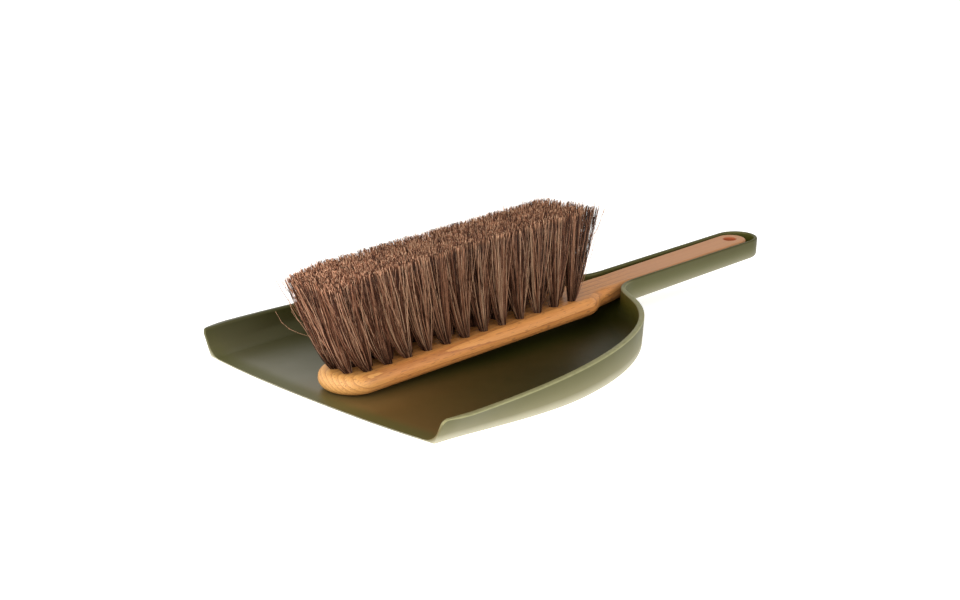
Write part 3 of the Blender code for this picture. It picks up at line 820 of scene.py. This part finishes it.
def olive_plastic():
    """Satin plastic: dark inside, lightened and browned towards the lip by painted sheen and painted
    reflection, painted light outside, and a painted highlight along the rim.
    """
    n = Nodes("olive_plastic")
    where = n.position()
    cloud = n.noise(where, 22.0, 3.0)
    grain = n.noise(where, 1900.0, 2.0)

    # inside: dark olive, with a painted sheen that lightens it towards the lip and a painted brown
    # reflection of the wood towards the lip's right
    gloss = n.ramp(cloud, [(0.3, (0.012, 0.014, 0.0004)), (0.7, (0.017, 0.019, 0.0008))])
    place = n.add("ShaderNodeSeparateXYZ", {0: where})
    # painted sheen and painted reflection of the wood, strongest at the lip
    along = n.math("MULTIPLY_ADD", n.math("SUBTRACT", place.outputs["Y"], LIP_Y), -1.0 / 0.120, 1.0)
    front = n.math("MULTIPLY", n.math("POWER", n.math("MAXIMUM", along, 0.0), 1.8), 0.85)
    right = n.math("MULTIPLY_ADD", place.outputs["X"], 14.0, 0.4)
    painted_lip_reflection = n.ramp(right, [(0.0, (0.120, 0.112, 0.055)), (1.0, (0.150, 0.086, 0.026))])
    gloss = n.mix(front, gloss, painted_lip_reflection)
    height = place.outputs["Z"]
    # painted light on the inner walls' upper part: faint on the left, strongest on the right
    wall = n.math("MULTIPLY_ADD", height, 1.0 / 0.016, -0.35)
    wall = n.math("MINIMUM", n.math("MAXIMUM", wall, 0.0), 0.8)
    painted_wall_light = n.ramp(right, [(0.0, (0.022, 0.024, 0.001)), (1.0, (0.090, 0.086, 0.008))])
    gloss = n.mix(wall, gloss, painted_wall_light)
    # painted highlight on the lip's bevel: a lighter, greener olive than the dark plastic
    lip = n.attribute("lip")
    gloss = n.mix(n.math("MULTIPLY", lip, 0.75), gloss, (0.074, 0.076, 0.020))

    # outside: painted light makes it lighter than the inside, and a painted reflection of the white
    # floor makes it paler the nearer it is to the floor
    level = n.math("ADD", n.math("MULTIPLY", height, 1.0 / 0.030), n.math("MULTIPLY", cloud, 0.08))
    painted_outside_light = n.ramp(
        level,
        [
            (0.04, (0.48, 0.46, 0.360)),
            (0.22, (0.138, 0.130, 0.064)),
            (0.62, (0.058, 0.060, 0.020)),
            (1.0, (0.026, 0.024, 0.004)),
        ],
    )
    # painted reflection of the white floor on the wall's foot
    foot = n.math("MULTIPLY", n.math("POWER", n.attribute("foot"), 3.0), 0.40)
    painted_outside_light = n.mix(foot, painted_outside_light, (0.48, 0.46, 0.360))

    # rim: a patchy painted highlight on top of both
    base = n.mix(n.attribute("outside"), gloss, painted_outside_light)
    rim_light_share = n.math("ADD", 0.45, n.math("MULTIPLY", n.noise(where, 260.0), 0.5))
    painted_rim_highlight = n.math("MULTIPLY", n.attribute("rim"), rim_light_share)
    n.feed(n.shader.inputs["Base Color"], n.mix(painted_rim_highlight, base, (0.27, 0.26, 0.135)))

    # gloss: smoothest towards the lip, duller along its edge and outside
    rough = n.math("ADD", 0.42, n.math("MULTIPLY", n.noise(where, 60.0, 4.0), 0.12))
    rough = n.math("MULTIPLY_ADD", front, -0.25, rough)
    rough = n.math("MULTIPLY_ADD", lip, 0.20, rough)
    rough = n.math("ADD", rough, n.math("MULTIPLY", n.attribute("outside"), 0.10))
    n.feed(n.shader.inputs["Roughness"], rough)
    bump = n.add("ShaderNodeBump", {"Height": grain, "Strength": 0.25, "Distance": 0.00004})
    n.feed(n.shader.inputs["Normal"], bump.outputs[0])
    n.shader.inputs["IOR"].default_value = 1.5
    n.shader.inputs["Specular Tint"].default_value = (1.0, 0.90, 0.55, 1.0)
    return n.material


def beech():
    """Beech in the brush's own frame: rings, fibres and flecks, a plainer handle, a hanging hole
    darkened partly by painted shade, a nose paled by painted light.
    """
    n = Nodes("beech")
    place = n.add("ShaderNodeMapping", {"Vector": n.position()}, vector_type="TEXTURE")
    place.inputs["Location"].default_value = BRUSH_MATRIX.to_translation()
    place.inputs["Rotation"].default_value = BRUSH_MATRIX.to_euler()
    where = place.outputs[0]

    # growth rings, stretched along the grain and bent by a broad drift
    broad = n.stretched(where, (14.0, 3.5, 14.0))
    drift = n.add("ShaderNodeTexNoise", {"Vector": broad, "Scale": 1.0, "Detail": 2.0})
    bent = n.add("ShaderNodeVectorMath", operation="MULTIPLY_ADD")
    n.feed(bent.inputs[0], drift.outputs["Color"])
    bent.inputs[1].default_value = (0.010, 0.0, 0.010)
    n.feed(bent.inputs[2], where)
    ring_place = n.add("ShaderNodeMapping", {"Vector": bent.outputs[0]})
    ring_place.inputs["Location"].default_value = (0.012, 0.0, 0.034)
    ring_place.inputs["Scale"].default_value = (1.0, 0.035, 1.0)
    wave = {"Scale": 130.0, "Distortion": 1.2, "Detail": 2.0, "Detail Scale": 1.5}
    rings = n.add(
        "ShaderNodeTexWave",
        {"Vector": ring_place.outputs[0], **wave},
        wave_type="RINGS",
        rings_direction="Y",
        wave_profile="SAW",
    ).outputs["Fac"]
    base = n.ramp(
        rings,
        [
            (0.0, (0.70, 0.310, 0.085)),
            (0.7, (0.62, 0.240, 0.056)),
            (1.0, (0.36, 0.112, 0.026)),
        ],
    )

    # fine fibres and short dark flecks
    fibres = n.noise(n.stretched(where, (2400.0, 90.0, 2400.0)), 1.0, 3.0, 0.6)
    base = n.mix(0.35, base, n.ramp(fibres, [(0.3, (0.32, 0.110, 0.032)), (0.62, (0.64, 0.30, 0.095))]))
    flecks = n.noise(n.stretched(where, (1500.0, 210.0, 1500.0)), 1.0, 0.0)
    fleck = n.ramp(flecks, [(0.66, BLACK), (0.72, WHITE)])
    base = n.mix(n.math("MULTIPLY", fleck, 0.55), base, (0.27, 0.10, 0.035))

    # the handle is plainer; the hanging hole's edge is redder and darker, partly the wood's raw colour
    # and partly painted shade; and the nose is paler, painted light where light falls on the front
    along = n.add("ShaderNodeSeparateXYZ", {0: where}).outputs["Y"]
    handle = n.ramp(n.math("MULTIPLY_ADD", along, 10.0, 1.0), [(0.1, BLACK), (0.6, WHITE)])
    base = n.mix(n.math("MULTIPLY", handle, 0.85), base, (0.45, 0.210, 0.094))
    # partly painted shade: the hanging hole and its rounded mouth are darker and redder
    away = n.add("ShaderNodeVectorMath", {0: n.stretched(where, (1.0, 1.0, 0.0))}, operation="DISTANCE")
    away.inputs[1].default_value = (0.0, HANG_HOLE_U - BRUSH_PIVOT, 0.0)
    hole_distance = n.math("MULTIPLY", away.outputs["Value"], 1.0 / (2.0 * HANG_HOLE_RADIUS))
    hole = n.ramp(hole_distance, [(0.50, (0.75, 0.36, 0.22)), (0.62, WHITE)])
    base = n.mix(1.0, base, hole, "MULTIPLY")
    # painted light: the nose, which faces the light, is paled and lightened
    nose = n.ramp(n.math("MULTIPLY_ADD", along, 16.0, 4.8), [(0.05, WHITE), (0.6, BLACK)])
    base = n.mix(n.math("MULTIPLY", nose, 0.9), base, (1.0, 1.26, 1.42), "MULTIPLY")

    n.feed(n.shader.inputs["Base Color"], base)
    n.feed(n.shader.inputs["Roughness"], n.math("ADD", 0.42, n.math("MULTIPLY", fibres, 0.16)))
    bump = n.add("ShaderNodeBump", {"Height": fibres, "Strength": 0.35, "Distance": 0.00006})
    n.feed(n.shader.inputs["Normal"], bump.outputs[0])
    return n.material


def horsehair():
    """Brown hair that differs from hair to hair, with painted shade darkening it towards the root and
    painted light on the cut end.
    """
    n = Nodes("horsehair")
    tone = n.attribute("tone")
    height = n.attribute("height")
    colour = n.ramp(
        tone,
        [
            (0.0, (0.018, 0.006, 0.003)),
            (0.4, (0.090, 0.032, 0.017)),
            (0.6, (0.500, 0.220, 0.120)),
            (1.0, (1.000, 0.630, 0.400)),
        ],
    )
    patches = n.noise(n.stretched(n.position(), (240.0, 240.0, 60.0)), 1.0, 2.0)
    colour = n.mix(n.math("MULTIPLY", patches, 0.4), colour, (0.100, 0.040, 0.021))
    # painted light: the hairs are lightened towards the front, where light falls on the brush's front
    # end
    along = n.add("ShaderNodeSeparateXYZ", {0: n.position()}).outputs["Y"]
    front = n.math("MULTIPLY_ADD", n.math("SUBTRACT", along, LIP_Y), -1.0 / 0.070, 1.0)
    colour = n.mix(n.math("MAXIMUM", front, 0.0), colour, (1.28, 1.26, 1.30), "MULTIPLY")
    # painted shade along each hair: darkest at the root, dipping again just below the tips, with painted
    # light on the cut ends
    shade = [(0.0, 0.22), (0.28, 0.74), (0.86, 0.74), (0.95, 0.58), (0.985, 1.0)]
    root = n.ramp(height, [(place, (value, value, value)) for place, value in shade])
    n.feed(n.shader.inputs["Base Color"], n.mix(1.0, colour, root, "MULTIPLY"))
    n.feed(n.shader.inputs["Roughness"], n.math("ADD", 0.38, n.math("MULTIPLY", tone, 0.15)))
    n.shader.inputs["Specular IOR Level"].default_value = 0.2
    return n.material


def paper_white():
    """White floor that glows a little, so that it stays white around the object."""
    n = Nodes("floor_white")
    cloud = n.noise(n.position(), 3.0)
    paper = n.ramp(cloud, [(0.0, (0.86, 0.86, 0.86)), (1.0, (0.88, 0.88, 0.88))])
    n.feed(n.shader.inputs["Base Color"], paper)
    n.shader.inputs["Roughness"].default_value = 0.9
    n.shader.inputs["Specular IOR Level"].default_value = 0.1
    n.shader.inputs["Emission Color"].default_value = (1.0, 1.0, 1.0, 1.0)
    n.shader.inputs["Emission Strength"].default_value = 0.62
    return n.material


# ---------------------------------------------------------------- stage
def direction(azimuth, elevation):
    """From the object towards a place at this azimuth (0 is in front of the lip, 90 is on +X)."""
    a, e = math.radians(azimuth), math.radians(elevation)
    return Vector((math.sin(a) * math.cos(e), -math.cos(a) * math.cos(e), math.sin(e)))


def build_floor():
    bm = bmesh.new()
    bmesh.ops.create_grid(bm, x_segments=8, y_segments=8, size=6.0)
    mesh = bpy.data.meshes.new("floor")
    bm.to_mesh(mesh)
    bm.free()
    floor = bpy.data.objects.new("floor", mesh)
    bpy.context.scene.collection.objects.link(floor)
    floor.location = (0.0, 0.0, PAN_LOW.z - 0.1 * MM)
    mesh.materials.append(paper_white())


def build_camera():
    data = bpy.data.cameras.new("camera")
    data.lens = CAMERA_LENS_MM
    data.sensor_width = SENSOR_WIDTH_MM
    camera = bpy.data.objects.new("camera", data)
    bpy.context.scene.collection.objects.link(camera)
    back = direction(CAMERA_AZIMUTH, CAMERA_ELEVATION)
    camera.location = CAMERA_TARGET + back * CAMERA_DISTANCE
    camera.rotation_mode = "QUATERNION"
    camera.rotation_quaternion = (-back).to_track_quat("-Z", "Y")
    bpy.context.scene.camera = camera


def area_light(name, azimuth, elevation, distance, size, power):
    """A rectangular lamp that faces the object."""
    data = bpy.data.lights.new(name, "AREA")
    data.shape = "RECTANGLE"
    data.size, data.size_y = size
    data.energy = power
    data.color = LIGHT_COLOUR
    light = bpy.data.objects.new(name, data)
    bpy.context.scene.collection.objects.link(light)
    back = direction(azimuth, elevation)
    light.location = LIGHT_TARGET + back * distance
    light.rotation_mode = "QUATERNION"
    light.rotation_quaternion = (-back).to_track_quat("-Z", "Y")


def build_lights():
    """Sky that is white below and grey above, a broad key light and a side fill."""
    world = bpy.data.worlds.new("studio")
    world.use_nodes = True
    tree = world.node_tree
    place = tree.nodes.new("ShaderNodeTexCoord")
    split = tree.nodes.new("ShaderNodeSeparateXYZ")
    ramp = tree.nodes.new("ShaderNodeValToRGB")
    tree.links.new(place.outputs["Generated"], split.inputs[0])
    tree.links.new(split.outputs["Z"], ramp.inputs["Fac"])
    low, high = ramp.color_ramp.elements
    low.position, low.color = 0.32, (1.0, 1.0, 1.0, 1.0)
    high.position, high.color = 0.62, (0.42, 0.415, 0.39, 1.0)
    background = tree.nodes["Background"]
    tree.links.new(ramp.outputs["Color"], background.inputs["Color"])
    background.inputs["Strength"].default_value = 1.0
    bpy.context.scene.world = world
    area_light("key", 2.0, 30.0, 2.2, (4.0, 1.8), 62.0)
    area_light("fill", 95.0, 14.0, 1.8, (1.4, 0.7), 15.0)


def main():
    bpy.context.scene.view_settings.view_transform = "Standard"
    build_camera()
    build_floor()
    build_lights()
    build_pan(olive_plastic())
    build_block(beech())
    build_hair(horsehair())


main()
